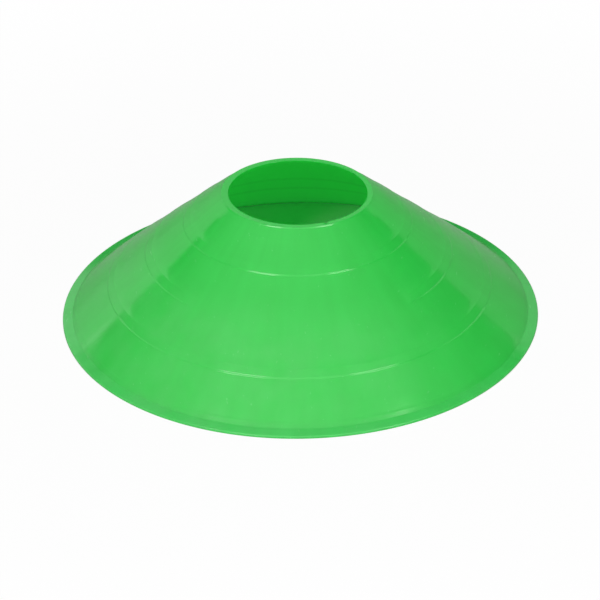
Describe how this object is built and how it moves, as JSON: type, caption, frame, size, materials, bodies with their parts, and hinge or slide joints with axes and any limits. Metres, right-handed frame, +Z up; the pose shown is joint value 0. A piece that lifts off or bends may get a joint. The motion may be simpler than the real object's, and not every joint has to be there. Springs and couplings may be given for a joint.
{
  "type": "disc marker cone",
  "caption": "Low disc-shaped sports marker cone in soft green plastic: an open sloping shell with a round top opening, stepped rings and a flat foot flange.",
  "frame": {"origin": "centre of the foot flange's underside, on the surface that the cone stands on", "axes": "+Z up along the cone's axis through the top opening, -Y towards the smooth front panel where the second step ring is interrupted"},
  "size_m": [0.19, 0.19, 0.0534],
  "materials": {
    "green_polyethylene": "soft injection-moulded low-density polyethylene, satin to semi-gloss, slightly translucent"
  },
  "bodies": {
    "root": {"cone_shell": "green_polyethylene"}
  },
  "joints": []
}
